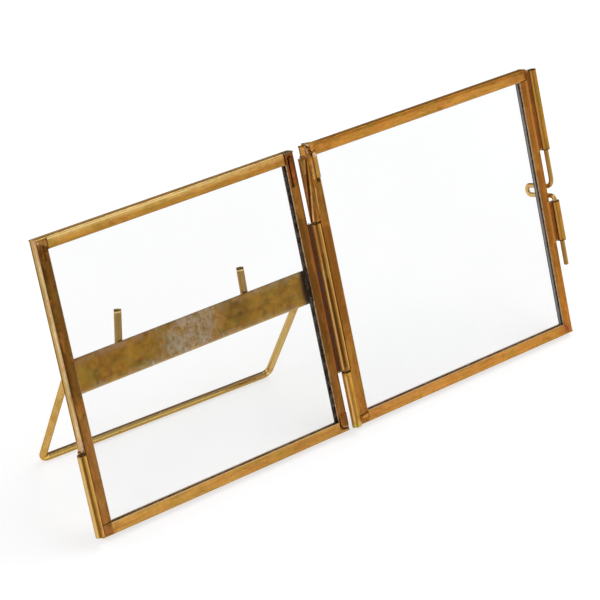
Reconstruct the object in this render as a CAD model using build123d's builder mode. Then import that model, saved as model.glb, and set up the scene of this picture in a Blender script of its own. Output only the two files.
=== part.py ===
"""A hinged double photo frame: two glazed leaves of folded brass channel on a wire stand.

Sizes are in millimetres. X runs along both leaves, Y runs back and Z up. The frame stands on
Z = 0, and the origin is under the middle of its box. Leaf places are (x, up, depth): x from the
hinge line, up the leaf from its lower edge, and depth back from the front faces.
"""
import os
from math import cos, radians, sin

from build123d import *

# Leaves
leaf_width = 105.0
leaf_height = 100.0
lean = 30.0
sheet = 0.5
flange = 4.0
fold_radius = 0.6
glass_thickness = 2.9
groove_play = 0.1
glass_play = 0.4

# Corner tabs on the hinge stiles
tab_width = 1.8
tab_length = 9.2
tab_thickness = 0.35
left_tab_inset = 1.2
right_tab_inset = 0.0
left_tab_drop = 1.5
right_tab_drop = 2.5

# Hinge
hinge_pin_diameter = 2.1
pin_clearance = 0.05
knuckle_wall = 0.55
hinge_proud = 0.9
knuckle_side_gap = 0.95
knuckle_end_gap = 0.3
lower_knuckle_rise = 0.6
lower_knuckle_length = 20.0
upper_knuckle_length = 22.3
upper_knuckle_drop = 3.5
pin_inset = 0.2
tail_reach = 3.4

# Bolt, its guides and its catch
bolt_diameter = 1.7
bolt_clearance = 0.08
catch_play = 0.25
catch_wall = 0.43
tube_tail_sheet = 0.5
closing_gap = 0.25
catch_rise = 1.5
catch_length = 28.0
upper_guide_drop = 0.5
upper_guide_length = 30.0
lower_guide_length = 15.0
guide_rest_gap = 0.2
loop_above_middle = 1.9
loop_spacing = 3.6
loop_flat = 0.2
loop_reach = 15.0
upper_loop_bend_inside = 2.2
lower_loop_bend_inside = 0.75
catch_engagement = 3.9
bolt_top_drop = 14.0
bolt_tip_chamfer = 0.25

# Wire stand and the strip that carries it
stand_wire_diameter = 2.5
sleeve_clearance = 0.05
sleeve_wall = 0.45
sleeve_length = 11.0
sleeve_tail = 3.0
strip_thickness = 0.8
strip_height = 11.6
strip_inset = 2.4
strip_corner = 0.8
axle_above_middle = 2.85
leg_inset = 3.3
foot_inset = 5.3
left_foot_reach = 39.3
right_foot_reach = 36.6
left_axle_run = 20.4
right_axle_run = 24.9
left_peg_length = 15.8
right_peg_length = 14.3
left_peg_drift = 3.0
right_peg_drift = 0.2
peg_stop_gap = 0.2
foot_bend_inside = 1.4
axle_bend_inside = 1.4

# What follows from the sizes above
leaf_depth = glass_thickness + groove_play + 2 * sheet
knuckle_radius = hinge_pin_diameter / 2 + pin_clearance + knuckle_wall
knuckle_bore = hinge_pin_diameter / 2 + pin_clearance
hinge_edge = knuckle_radius + knuckle_side_gap
outer_edge = hinge_edge + leaf_width
bolt_tube_radius = bolt_diameter / 2 + catch_play + catch_wall
bolt_x = outer_edge + bolt_tube_radius + closing_gap
left_middle = -(hinge_edge + outer_edge) / 2

# The leaves lean back on the rounded lower edge of their back flanges
tilt = radians(lean)
heel_height = fold_radius * (1 - cos(tilt)) + (leaf_depth - fold_radius) * sin(tilt)
heel_y = fold_radius * sin(tilt) + (leaf_depth - fold_radius) * cos(tilt)
front_y = lower_knuckle_rise * sin(tilt) - (hinge_proud + knuckle_radius) * cos(tilt)
back_y = (leaf_height - fold_radius) * sin(tilt) + (leaf_depth - fold_radius) * cos(tilt) + fold_radius
leaf_y = -(front_y + back_y) / 2

x_axis = (1, 0, 0)
up_axis = (0, sin(tilt), cos(tilt))
front_axis = (0, -cos(tilt), sin(tilt))
leaf = Plane(origin=(0, leaf_y, heel_height), x_dir=x_axis, z_dir=front_axis)


def upright_section(up):
    """Plane across the leaf at a height: x along the leaf, then depth."""
    return Plane(origin=leaf.from_local_coords((0, up, 0)), x_dir=x_axis, z_dir=up_axis)


def level_section(x):
    """Plane across a rail, seen from its right end: up the leaf, then depth."""
    return Plane(origin=leaf.from_local_coords((x, 0, 0)), x_dir=up_axis, z_dir=(-1, 0, 0))


def save(piece, label):
    """Name a finished piece and write its file."""
    piece.part.label = label
    export_step(piece.part, f"parts/{label}.step")


def build_channel(label, section, edge, inward, length, trims):
    """Folded channel with its web at edge and its flanges running inward.

    Each trim is a stretch of x and a stretch of up, where the web runs on without its flanges.
    """
    lip = edge + inward * flange
    groove = edge + inward * sheet
    back = leaf_depth - sheet
    web_side = 0 if inward > 0 else -1
    with BuildPart() as channel:
        with BuildSketch(section) as outline:
            with BuildLine():
                Polyline(
                    (edge, 0),
                    (lip, 0),
                    (lip, sheet),
                    (groove, sheet),
                    (groove, back),
                    (lip, back),
                    (lip, leaf_depth),
                    (edge, leaf_depth),
                    close=True,
                )
            make_face()
            fillet(outline.vertices().group_by(Axis.X)[web_side], fold_radius)
        extrude(amount=length)
        for (x_from, x_to), (up_from, up_to) in trims:
            with BuildSketch(leaf):
                with Locations(((x_from + x_to) / 2, (up_from + up_to) / 2)):
                    Rectangle(abs(x_to - x_from), abs(up_to - up_from))
            extrude(amount=-leaf_depth, mode=Mode.SUBTRACT)
    save(channel, label)


def build_rail(label, side, at_top, covers_outer):
    """Level channel of a leaf, whose web closes the open ends of the stiles."""
    near = side * hinge_edge
    far = side * (outer_edge if covers_outer else outer_edge - sheet)
    edge = leaf_height if at_top else 0
    inward = -1 if at_top else 1
    flange_rows = (edge + inward * sheet, edge + inward * flange)
    trims = [((near, near + side * flange), flange_rows)]
    if covers_outer:
        trims.append(((far, far - side * flange), flange_rows))
    build_channel(label, level_section(max(near, far)), edge, inward, abs(far - near), trims)


def build_stile(label, edge, inward, covers_top):
    """Upright channel of a leaf, between the webs of the two rails."""
    top = leaf_height if covers_top else leaf_height - sheet
    trims = []
    if covers_top:
        trims.append(((edge + inward * sheet, edge + inward * flange), (top - flange, top)))
    build_channel(label, upright_section(sheet), edge, inward, top - sheet, trims)


def build_glass(label, side):
    """Pane that stands on the lower web and lies against the front flanges."""
    width = leaf_width - 2 * (sheet + glass_play)
    height = leaf_height - 2 * sheet - glass_play
    with BuildPart() as glass:
        with BuildSketch(leaf.offset(-sheet)):
            with Locations((side * (hinge_edge + outer_edge) / 2, sheet + height / 2)):
                Rectangle(width, height)
        extrude(amount=-glass_thickness)
    save(glass, label)


def build_tab(label, side, inset, drop):
    """Narrow round-topped strip on the front of a hinge stile, near its inner edge."""
    top = leaf_height - drop
    middle = side * (hinge_edge + flange - inset - tab_width / 2)
    with BuildPart() as tab:
        with BuildSketch(leaf):
            with Locations((middle, top - tab_length / 2)):
                shape = Rectangle(tab_width, tab_length)
            fillet(shape.vertices().group_by(Axis.Y)[-1], tab_width / 2 - tab_thickness / 2)
        extrude(amount=tab_thickness)
    save(tab, label)


def build_rolled_tube(label, axis_x, web_x, rise, length, radius, bore, wall):
    """Strip rolled round a wire, with a neck to the leaf's web and a tail soldered along it."""
    outward = 1 if axis_x > web_x else -1
    neck_back = radius - hinge_proud
    neck_front = neck_back - wall
    with BuildPart() as tube:
        with BuildSketch(upright_section(rise)):
            with Locations((axis_x, -hinge_proud)):
                Circle(radius)
            with Locations(((axis_x + web_x) / 2, (neck_front + neck_back) / 2)):
                Rectangle(abs(axis_x - web_x), wall)
            with Locations((web_x + outward * wall / 2, (neck_front + tail_reach) / 2)):
                Rectangle(wall, tail_reach - neck_front)
            with Locations((axis_x, -hinge_proud)):
                Circle(bore, mode=Mode.SUBTRACT)
        extrude(amount=length)
    save(tube, label)


os.makedirs("parts", exist_ok=True)

# Folded channels and panes of the two leaves
build_rail("left_top_rail", -1, True, True)
build_rail("left_bottom_rail", -1, False, True)
build_stile("left_outer_stile", -outer_edge, 1, False)
build_stile("left_hinge_stile", -hinge_edge, -1, False)
build_glass("left_glass", -1)
build_tab("left_corner_tab", -1, left_tab_inset, left_tab_drop)

build_rail("right_top_rail", 1, True, False)
build_rail("right_bottom_rail", 1, False, True)
build_stile("right_outer_stile", outer_edge, -1, True)
build_stile("right_hinge_stile", hinge_edge, 1, False)
build_glass("right_glass", 1)
build_tab("right_corner_tab", 1, right_tab_inset, right_tab_drop)

# Hinge: the middle knuckle belongs to the left leaf, the other two to the right leaf
middle_knuckle_rise = lower_knuckle_rise + lower_knuckle_length + knuckle_end_gap
upper_knuckle_rise = leaf_height - upper_knuckle_drop - upper_knuckle_length
middle_knuckle_length = upper_knuckle_rise - knuckle_end_gap - middle_knuckle_rise
knuckle_top = upper_knuckle_rise + upper_knuckle_length
knuckle_roll = (knuckle_radius, knuckle_bore, knuckle_wall)
build_rolled_tube("lower_knuckle", 0, hinge_edge, lower_knuckle_rise, lower_knuckle_length, *knuckle_roll)
build_rolled_tube("middle_knuckle", 0, -hinge_edge, middle_knuckle_rise, middle_knuckle_length, *knuckle_roll)
build_rolled_tube("upper_knuckle", 0, hinge_edge, upper_knuckle_rise, upper_knuckle_length, *knuckle_roll)

with BuildPart() as hinge_pin:
    with BuildSketch(upright_section(lower_knuckle_rise + pin_inset)):
        with Locations((0, -hinge_proud)):
            Circle(hinge_pin_diameter / 2)
    extrude(amount=knuckle_top - lower_knuckle_rise - 2 * pin_inset)
save(hinge_pin, "hinge_pin")

# Bolt guides and catch: one line of tubes when the frame is shut
loop_rise = leaf_height / 2 + loop_above_middle
upper_loop_bend = upper_loop_bend_inside + bolt_diameter / 2
lower_loop_bend = lower_loop_bend_inside + bolt_diameter / 2
lower_guide_top = loop_rise - lower_loop_bend - guide_rest_gap
lower_guide_rise = lower_guide_top - lower_guide_length
upper_guide_rise = leaf_height - upper_guide_drop - upper_guide_length
guide_roll = (bolt_tube_radius, bolt_diameter / 2 + bolt_clearance, tube_tail_sheet)
catch_roll = (bolt_tube_radius, bolt_diameter / 2 + catch_play, tube_tail_sheet)
build_rolled_tube("upper_bolt_guide", bolt_x, outer_edge, upper_guide_rise, upper_guide_length, *guide_roll)
build_rolled_tube("lower_bolt_guide", bolt_x, outer_edge, lower_guide_rise, lower_guide_length, *guide_roll)
build_rolled_tube("catch_tube", -bolt_x, -outer_edge, catch_rise, catch_length, *catch_roll)

# Bolt: a straight wire with a finger loop bent back from its middle
loop_top = loop_rise + loop_spacing
loop_back = hinge_proud - loop_reach
loop_turn = (loop_spacing - loop_flat) / 2
bolt_top = leaf_height - bolt_top_drop
bolt_tip = catch_rise + catch_length - catch_engagement
with BuildPart() as bolt_wire:
    with BuildLine(leaf) as bolt_route:
        FilletPolyline(
            (bolt_x, bolt_top, hinge_proud),
            (bolt_x, loop_top, hinge_proud),
            (bolt_x, loop_top, loop_back),
            (bolt_x, loop_rise, loop_back),
            (bolt_x, loop_rise, hinge_proud),
            (bolt_x, bolt_tip, hinge_proud),
            radius=[upper_loop_bend, loop_turn, loop_turn, lower_loop_bend],
        )
    with BuildSketch(Plane(origin=bolt_route.line @ 0, z_dir=bolt_route.line % 0)):
        Circle(bolt_diameter / 2)
    sweep()
    tip_edge = bolt_wire.edges().sort_by(Axis(leaf.origin, up_axis))[0]
    chamfer(tip_edge, bolt_tip_chamfer)
save(bolt_wire, "bolt_wire")

# Strip across the back of the left leaf
axle_rise = leaf_height / 2 + axle_above_middle
with BuildPart() as stand_strip:
    with BuildSketch(leaf.offset(-leaf_depth)):
        with Locations((left_middle, axle_rise)):
            RectangleRounded(leaf_width - 2 * strip_inset, strip_height, strip_corner)
    extrude(amount=-strip_thickness)
save(stand_strip, "stand_strip")

# Sleeves on the back of the strip, round the stand's two axle runs
wire_radius = stand_wire_diameter / 2
sleeve_radius = wire_radius + sleeve_clearance + sleeve_wall
strip_back = leaf_depth + strip_thickness
axle_depth = strip_back + sleeve_radius
left_leg_x = -outer_edge + leg_inset
right_leg_x = -hinge_edge - leg_inset
left_peg_x = left_leg_x + left_axle_run
right_peg_x = right_leg_x - right_axle_run
axle_runs = (
    ("left_stand_sleeve", left_leg_x, left_peg_x),
    ("right_stand_sleeve", right_peg_x, right_leg_x),
)
for label, run_from, run_to in axle_runs:
    sleeve_end = (run_from + run_to + sleeve_length) / 2
    with BuildPart() as sleeve:
        with BuildSketch(level_section(sleeve_end)):
            with Locations((axle_rise, axle_depth)):
                Circle(sleeve_radius)
            with Locations((axle_rise - sleeve_tail / 2, strip_back + sleeve_wall / 2)):
                Rectangle(sleeve_tail, sleeve_wall)
            with Locations((axle_rise, axle_depth)):
                Circle(wire_radius + sleeve_clearance, mode=Mode.SUBTRACT)
        extrude(amount=sleeve_length)
    save(sleeve, label)

# Stand: one wire of pegs, axle runs, legs and foot bar. The pegs stop against the strip's top edge
peg_lean = sleeve_wall + sleeve_clearance - peg_stop_gap
peg_slope = peg_lean / (strip_height / 2)


def peg_tip(x, drift, length):
    """Upper end of a peg that rises from x and drifts sideways."""
    return (x + drift, axle_rise + length, peg_slope * length - axle_depth)


foot_bend = foot_bend_inside + wire_radius
axle_bend = axle_bend_inside + wire_radius
foot_y = leaf_y + heel_y
left_foot = Vector(-outer_edge + foot_inset, foot_y + left_foot_reach, wire_radius)
right_foot = Vector(-hinge_edge - foot_inset, foot_y + right_foot_reach, wire_radius)
with BuildPart() as stand_wire:
    with BuildLine(leaf) as stand_route:
        FilletPolyline(
            peg_tip(left_peg_x, left_peg_drift, left_peg_length),
            (left_peg_x, axle_rise, -axle_depth),
            (left_leg_x, axle_rise, -axle_depth),
            left_foot,
            right_foot,
            (right_leg_x, axle_rise, -axle_depth),
            (right_peg_x, axle_rise, -axle_depth),
            peg_tip(right_peg_x, right_peg_drift, right_peg_length),
            radius=[axle_bend, axle_bend, foot_bend, foot_bend, axle_bend, axle_bend],
        )
    with BuildSketch(Plane(origin=stand_route.line @ 0, z_dir=stand_route.line % 0)):
        Circle(wire_radius)
    sweep()
save(stand_wire, "stand_wire")
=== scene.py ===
# %% [markdown]
# # Hinged double photo frame: the looks
# The frame is two glazed leaves of folded brass channel on a hinge. The left leaf leans on a bent
# wire stand, and a wire bolt on the right leaf locks the two when they are shut. The solids come
# ready made. This script gives them their aged brass, the glass, the solder and the light.

# %% Load the solids
from math import pi, radians

import bmesh
import bpy
from mathutils import Matrix, Vector
from mathutils import noise as rough_noise


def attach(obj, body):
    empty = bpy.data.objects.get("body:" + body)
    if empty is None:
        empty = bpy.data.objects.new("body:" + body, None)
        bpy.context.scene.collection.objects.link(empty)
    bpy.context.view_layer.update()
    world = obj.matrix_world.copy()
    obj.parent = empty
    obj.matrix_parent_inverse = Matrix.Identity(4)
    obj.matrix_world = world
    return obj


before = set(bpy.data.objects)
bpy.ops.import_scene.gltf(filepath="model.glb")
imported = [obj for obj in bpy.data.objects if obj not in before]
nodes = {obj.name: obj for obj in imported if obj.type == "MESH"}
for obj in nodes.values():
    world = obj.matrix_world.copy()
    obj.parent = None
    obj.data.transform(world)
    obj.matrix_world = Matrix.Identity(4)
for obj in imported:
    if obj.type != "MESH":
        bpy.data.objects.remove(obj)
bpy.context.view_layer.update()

# %% [markdown]
# ## A ruler for the leaning leaves
# Both leaves lean back by 30 degrees, so plain X, Y and Z are awkward for saying where a seam or a
# stain is. A place on a leaf is given as (x, up, out) in millimetres: x from the hinge line, up from
# the lower edge, and out from the front faces. One matrix turns such a place into the scene's metres.

# %% Leaf ruler
MM = 0.001
LEAN = radians(30)
LEAF_FOOT = Vector((0, -0.025668, 0.001780))
HINGE_EDGE = 2.6
OUTER_EDGE = 107.6
LEAF_TOP = 100.0
LEAF_DEPTH = 4.0
SHEET = 0.5
FLANGE = 4.0

leaf_turn = (pi / 2 - LEAN, 0.0, 0.0)
leaf_matrix = (
    Matrix.Translation(LEAF_FOOT)
    @ Matrix.Rotation(leaf_turn[0], 4, "X")
    @ Matrix.Scale(MM, 4)
)
print("top of the hinge line is at", (leaf_matrix @ Vector((0, LEAF_TOP, 0))).to_tuple(4))

# %% [markdown]
# ## The camera
# The picture looks down on the frame from the left, and the camera is rolled a little, so that the
# leaves climb to the right. A long lens keeps the far leaf nearly as large as the near one. The
# camera's three directions are written out, because roll is hard to read from angles.

# %% Camera
camera_lens = bpy.data.cameras.new("camera")
camera_lens.sensor_width = 36
camera_lens.lens = 146.89
camera = bpy.data.objects.new("camera", camera_lens)
camera_right = Vector((0.76256, -0.63225, 0.13694))
camera_up = Vector((0.30174, 0.53485, 0.78923))
camera_back = Vector((-0.57223, -0.56052, 0.59863))
camera_place = Vector((-0.4860, -0.4645, 0.5409))
camera.matrix_world = Matrix.Translation(camera_place) @ Matrix(
    (camera_right, camera_up, camera_back)
).transposed().to_4x4()
bpy.context.scene.collection.objects.link(camera)
bpy.context.scene.camera = camera
bpy.context.scene.view_settings.view_transform = "Standard"
print("camera looks from", camera.location.to_tuple(3))

# %% [markdown]
# ## Nodes in few lines
# Every finish below is a tree of shader nodes. These helpers add one node each and return the socket
# that goes on to the next, so that a tree reads like a sum.

# %% Node helpers
def add(tree, kind, inputs=None, **settings):
    """A node with its settings, and its inputs linked from a socket or set to a value."""
    node = tree.nodes.new(kind)
    for key, value in settings.items():
        setattr(node, key, value)
    for key, value in (inputs or {}).items():
        if isinstance(value, bpy.types.NodeSocket):
            tree.links.new(value, node.inputs[key])
        else:
            node.inputs[key].default_value = value
    return node


def calc(tree, operation, a, b=0.0):
    """One sum with numbers."""
    return add(tree, "ShaderNodeMath", {0: a, 1: b}, operation=operation).outputs[0]


def reckon(tree, operation, a, b=(0.0, 0.0, 0.0), output=0):
    """One sum with vectors. Lengths and dot products come from output 1."""
    return add(tree, "ShaderNodeVectorMath", {0: a, 1: b}, operation=operation).outputs[output]


def rise(tree, value, low, high):
    """A soft step: 0 at low, 1 at high."""
    inputs = {"Value": value, "From Min": low, "From Max": high}
    return add(tree, "ShaderNodeMapRange", inputs, interpolation_type="SMOOTHSTEP").outputs[0]


def blend(tree, share, a, b):
    """Colour a, turning into colour b where share is 1."""
    return add(tree, "ShaderNodeMix", {0: share, 6: a, 7: b}, data_type="RGBA").outputs[2]


def product(tree, *values):
    """Some values multiplied. Masks multiplied give the part that all of them cover."""
    total = values[0]
    for value in values[1:]:
        total = calc(tree, "MULTIPLY", total, value)
    return total


def tint(tree, color, ink, mask, share):
    """A colour that turns into the ink where the mask is, as far as the share says."""
    return blend(tree, product(tree, mask, share), color, ink)


def times(tree, vector, number):
    """A colour or a place, times one number."""
    return add(tree, "ShaderNodeVectorMath", {0: vector, "Scale": number}, operation="SCALE").outputs[0]


def noise(tree, place, scale, detail=3.0, roughness=0.55, distortion=0.0):
    """Blender's noise, which is about 0.5 on average."""
    inputs = {"Vector": place, "Scale": scale, "Detail": detail, "Roughness": roughness}
    inputs["Distortion"] = distortion
    return add(tree, "ShaderNodeTexNoise", inputs).outputs["Fac"]


def tone(red, green, blue):
    """A colour as a screen shows it, 0 to 255, turned into the linear values that shaders use."""
    def linear(c):
        c /= 255
        return c / 12.92 if c <= 0.04045 else ((c + 0.055) / 1.055) ** 2.4
    return (linear(red), linear(green), linear(blue), 1.0)


print("node helpers ready")

# %% [markdown]
# ## Groups
# An effect that several finishes share is built once, as a group of nodes. Its inputs have names and
# starting values, and each finish gives it values of its own. A starting value also tells what kind an
# input is: one number, three for a place, four for a colour.

# %% Group helpers
def new_group(name, inputs, outputs):
    """An empty node group with named sockets, what it is given, and what it puts out."""
    group = bpy.data.node_groups.new(name, "ShaderNodeTree")
    for label, value in inputs.items():
        kind = KINDS[len(value)] if isinstance(value, tuple) else FLOAT
        socket = group.interface.new_socket(label, in_out="INPUT", socket_type=kind)
        socket.default_value = value
    for label, kind in outputs.items():
        group.interface.new_socket(label, in_out="OUTPUT", socket_type=kind)
    return group, group.nodes.new("NodeGroupInput").outputs, group.nodes.new("NodeGroupOutput").inputs


def put_out(group, group_out, **sockets):
    """Links sockets to the outputs of a group, by name."""
    for label, socket in sockets.items():
        group.links.new(socket, group_out[label])


FLOAT, COLOR, VECTOR = "NodeSocketFloat", "NodeSocketColor", "NodeSocketVector"
KINDS = {3: VECTOR, 4: COLOR}
ORIGIN = (0.0, 0.0, 0.0)
BRASS = tone(185, 135, 63)
print("group helpers ready")

# %% [markdown]
# ## Where on the leaf a point lies
# Stains, seams and bright edges follow the frame's build, so the finishes need the same ruler as the
# pieces. This group turns Object coordinates into (x, up, out) in millimetres with one Mapping node.
# It also puts out how far in from the leaf's outline a point lies, how close to a corner it is, and a
# mask of the groove that holds the glass, where no polish ever reaches.

# %% Leaf place group
CORNER_REACH = 13.0
CORNER_CORE = 3.5
leaf_place, _, group_out = new_group(
    "leaf place",
    {},
    {"Place": VECTOR, "X": FLOAT, "Up": FLOAT, "Out": FLOAT, "Edge": FLOAT, "Corner": FLOAT, "Groove": FLOAT},
)
coords = add(leaf_place, "ShaderNodeTexCoord").outputs["Object"]
ruler = add(
    leaf_place,
    "ShaderNodeMapping",
    {"Vector": coords, "Location": LEAF_FOOT, "Rotation": leaf_turn, "Scale": (MM, MM, MM)},
    vector_type="TEXTURE",
).outputs[0]
axes = add(leaf_place, "ShaderNodeSeparateXYZ", {0: ruler}).outputs
across = calc(leaf_place, "ABSOLUTE", axes[0])
from_sides = calc(
    leaf_place,
    "MINIMUM",
    calc(leaf_place, "SUBTRACT", across, HINGE_EDGE),
    calc(leaf_place, "SUBTRACT", OUTER_EDGE, across),
)
from_ends = calc(leaf_place, "MINIMUM", axes[1], calc(leaf_place, "SUBTRACT", LEAF_TOP, axes[1]))
edge = calc(leaf_place, "MINIMUM", from_sides, from_ends)
corner = rise(leaf_place, calc(leaf_place, "MAXIMUM", from_sides, from_ends), CORNER_REACH, CORNER_CORE)
off_middle = calc(leaf_place, "ABSOLUTE", calc(leaf_place, "ADD", axes[2], LEAF_DEPTH / 2))
groove_half = LEAF_DEPTH / 2 - SHEET
between = rise(leaf_place, off_middle, groove_half + 0.06, groove_half - 0.01)
groove = product(leaf_place, rise(leaf_place, edge, 0.8 * SHEET, 0.96 * SHEET), between)
put_out(
    leaf_place, group_out, Place=ruler, X=axes[0], Up=axes[1], Out=axes[2], Edge=edge, Corner=corner,
    Groove=groove,
)
print("leaf place puts out", group_out.keys()[:-1])

# %% [markdown]
# ## Patina
# Old brass is never one colour. Handling keeps some of it golden, heat from soldering leaves a copper
# blush, damp turns it olive, and dark specks sit in the pores. The sheet was rolled, so fine lines run
# along its length. One group holds all of that and takes four tones, so each piece keeps its own
# colour. Noise in layers of different size does it: a broad drift, patches, mottle, lines and specks.
# The patches are drawn out a little along the piece, and the lines a lot. Patches of different kinds are
# read at different offsets, so that no two kinds lie in the same places.

# %% Patina group
BASE_ROUGHNESS = 0.2
LAYER_ROUGHNESS = 0.14
patina, given, group_out = new_group(
    "patina",
    {"Place": ORIGIN, "Patch": (1, 1, 1), "Grain": (1, 1, 1), "Tone": BRASS, "Blush": tone(198, 126, 58),
     "Olive": tone(164, 136, 54), "Dark": tone(112, 72, 24), "Blush share": 0.45, "Olive share": 0.5,
     "Dark share": 0.4, "Contrast": 1.0},
    {"Color": COLOR, "Roughness": FLOAT, "Height": FLOAT},
)
patches = reckon(patina, "MULTIPLY", given["Place"], given["Patch"])
grain = reckon(patina, "MULTIPLY", given["Place"], given["Grain"])
drift = noise(patina, given["Place"], 0.045, 2.0, 0.5, 0.6)
copper = noise(patina, reckon(patina, "ADD", patches, (31, 7, 3)), 0.30, 4.0, 0.6, 0.5)
damp = noise(patina, reckon(patina, "ADD", patches, (5, 43, 11)), 0.26, 4.0, 0.6, 0.5)
stain = noise(patina, reckon(patina, "ADD", patches, (17, 3, 29)), 0.5, 5.0, 0.65)
mottle = noise(patina, reckon(patina, "ADD", patches, (3, 19, 41)), 1.3, 3.0, 0.65)
line = noise(patina, grain, 3.2, 2.0, 0.6)
streak = noise(patina, reckon(patina, "ADD", grain, (9, 23, 5)), 1.0, 3.0, 0.65)
speck = noise(patina, given["Place"], 2.1, 3.0, 0.7)

blush_mask = product(patina, rise(patina, copper, 0.5, 0.66), given["Blush share"])
olive_mask = product(patina, rise(patina, damp, 0.5, 0.66), given["Olive share"])
stain_mask = product(patina, rise(patina, stain, 0.54, 0.72), given["Dark share"])
speck_mask = product(patina, rise(patina, speck, 0.6, 0.7), given["Dark share"])
color = blend(patina, blush_mask, given["Tone"], given["Blush"])
color = blend(patina, olive_mask, color, given["Olive"])
color = blend(patina, calc(patina, "MAXIMUM", stain_mask, speck_mask), color, given["Dark"])

shade = 0.0
for layer, depth in ((drift, 0.6), (mottle, 0.9), (line, 0.5), (streak, 1.0)):
    shade = calc(patina, "ADD", shade, product(patina, calc(patina, "SUBTRACT", layer, 0.5), depth))
shade = calc(patina, "ADD", product(patina, shade, given["Contrast"]), 1.0)
color = times(patina, color, shade)

rough = BASE_ROUGHNESS
for layer in (copper, line, stain_mask):
    rough = calc(patina, "ADD", rough, product(patina, layer, LAYER_ROUGHNESS))
height = 0.0
for layer, depth in ((line, 0.4), (speck_mask, -0.4), (damp, 0.8)):
    height = calc(patina, "ADD", height, product(patina, layer, depth))
put_out(patina, group_out, Color=color, Roughness=rough, Height=height)
print("patina takes", given.keys()[:-1])

# %% [markdown]
# ## Marks along a line
# Seams between two pieces, grime and painted shadow round a tab, heat stains at a joint, and painted
# glints and highlights all follow short lines. This group measures how far a point is from the line
# between two places, and makes a mask that fades out at a given width. A little noise frays it, so that
# it doesn't look ruled. The group lays the mark's ink on a colour, and it puts out the mask too, for the
# dip of narrow lines and for the matte cover under painted shading.

# %% Mark group
mark, given, group_out = new_group(
    "mark along a line",
    {"Place": ORIGIN, "From": ORIGIN, "To": (0, 1, 0), "Width": 0.3, "Fray": 0.1, "Color": BRASS,
     "Ink": BRASS, "Share": 1.0},
    {"Mask": FLOAT, "Color": COLOR},
)
flat = reckon(mark, "MULTIPLY", given["Place"], (1, 1, 0))
span = reckon(mark, "SUBTRACT", given["To"], given["From"])
reach = reckon(mark, "SUBTRACT", flat, given["From"])
passed = reckon(mark, "DOT_PRODUCT", reach, span, 1)
whole = reckon(mark, "DOT_PRODUCT", span, span, 1)
share = add(mark, "ShaderNodeMath", {0: passed, 1: whole}, operation="DIVIDE", use_clamp=True).outputs[0]
nearest = times(mark, span, share)
gap = reckon(mark, "DISTANCE", reach, nearest, 1)
wobble = calc(mark, "SUBTRACT", noise(mark, given["Place"], 1.4, 3.0, 0.6), 0.5)
gap = calc(mark, "ADD", gap, product(mark, wobble, given["Fray"], 4.0))
half = product(mark, given["Width"], 0.5)
mask = rise(mark, gap, given["Width"], half)
color = tint(mark, given["Color"], given["Ink"], mask, given["Share"])
put_out(mark, group_out, Mask=mask, Color=color)
print("marks take", given.keys()[:-1])

# %% [markdown]
# ## From a place to a metal
# Every brass finish goes the same way. It starts with an empty tree, reads the place on the leaf, lays
# on the patina and draws its marks. One Principled shader then makes metal of the colour, the roughness
# and the height. The groups hold the patterns, and the shader stays in the material, because an
# exporter doesn't look for it inside a group.

# %% Material helpers
BUMP_STRENGTH = 0.5
BUMP_DEPTH = 0.06 * MM
EDGE_SHINE = (0.78, 0.54, 0.28, 1)


def start_material(name):
    """An empty material and its tree."""
    material = bpy.data.materials.new(name)
    material.use_nodes = True
    tree = material.node_tree
    tree.nodes.clear()
    return material, tree


def show(material, shader):
    """Puts a shader on the surface of a material."""
    add(material.node_tree, "ShaderNodeOutputMaterial", {"Surface": shader.outputs[0]})
    return material


def put_group(tree, group, **values):
    """A group in a tree, with its inputs given by name, where _ stands for a space."""
    inputs = {label.replace("_", " ").capitalize(): value for label, value in values.items()}
    return add(tree, "ShaderNodeGroup", inputs, node_tree=group).outputs


def place_on_leaf(tree):
    """The sockets of the leaf place group: Place, X, Up, Out, Edge, Corner and Groove."""
    return put_group(tree, leaf_place)


def put_patina(tree, place, run, **values):
    """Patina on a piece. Its run says how far patches and lines are drawn out."""
    return put_group(tree, patina, place=place, patch=run[0], grain=run[1], **values)


def put_mark(tree, place, color, line, fray):
    """A mark on a colour. The line is its start, its end, its width, its ink and the ink's share."""
    start, end, width, ink, share = line
    inputs = {"Place": place, "From": (*start, 0), "To": (*end, 0), "Width": width, "Fray": fray}
    inputs.update({"Color": color, "Ink": ink, "Share": share})
    return add(tree, "ShaderNodeGroup", inputs, node_tree=mark).outputs


def finish_metal(material, color, rough, height, bare=1.0):
    """The metal itself: one Principled shader with the pattern on its colour, roughness and bump."""
    tree = material.node_tree
    inputs = {"Height": height, "Strength": BUMP_STRENGTH, "Distance": BUMP_DEPTH}
    bump = add(tree, "ShaderNodeBump", inputs).outputs[0]
    inputs = {"Base Color": color, "Metallic": bare, "Roughness": rough, "Normal": bump}
    return show(material, add(tree, "ShaderNodeBsdfPrincipled", {**inputs, "Specular Tint": EDGE_SHINE}))


LEVEL = ((0.4, 1.0, 1.0), (0.07, 1.0, 1.0))
UPRIGHT = ((1.0, 0.4, 1.0), (1.0, 0.07, 1.0))
print("material helpers ready")

# %% [markdown]
# ## Painted shading on a matte cover
# Some marks are painted light and shade along edges and joints: lighter tones lift the shade beside tubes
# and tabs and along lips, and a darker one lies on the foot bar. They are drawn like marks, but they also
# cover the metal: where they lie, the brass is rougher and mirrors less. A changed colour alone would
# still shine like clean metal.

# %% Matte cover group
MATTE_ROUGHNESS = 0.3
MATTE_COVER = 0.8
SHADING_FRAY = 0.06
matte_cover, given, group_out = new_group(
    "film on metal",
    {"Mask": 0.0, "Share": 1.0, "Roughness": 0.4, "Bare": 1.0},
    {"Roughness": FLOAT, "Bare": FLOAT},
)
cover = product(matte_cover, given["Mask"], given["Share"])
rough = calc(matte_cover, "ADD", given["Roughness"], product(matte_cover, cover, MATTE_ROUGHNESS))
bare = calc(matte_cover, "SUBTRACT", given["Bare"], product(matte_cover, cover, MATTE_COVER))
put_out(matte_cover, group_out, Roughness=rough, Bare=bare)


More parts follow.
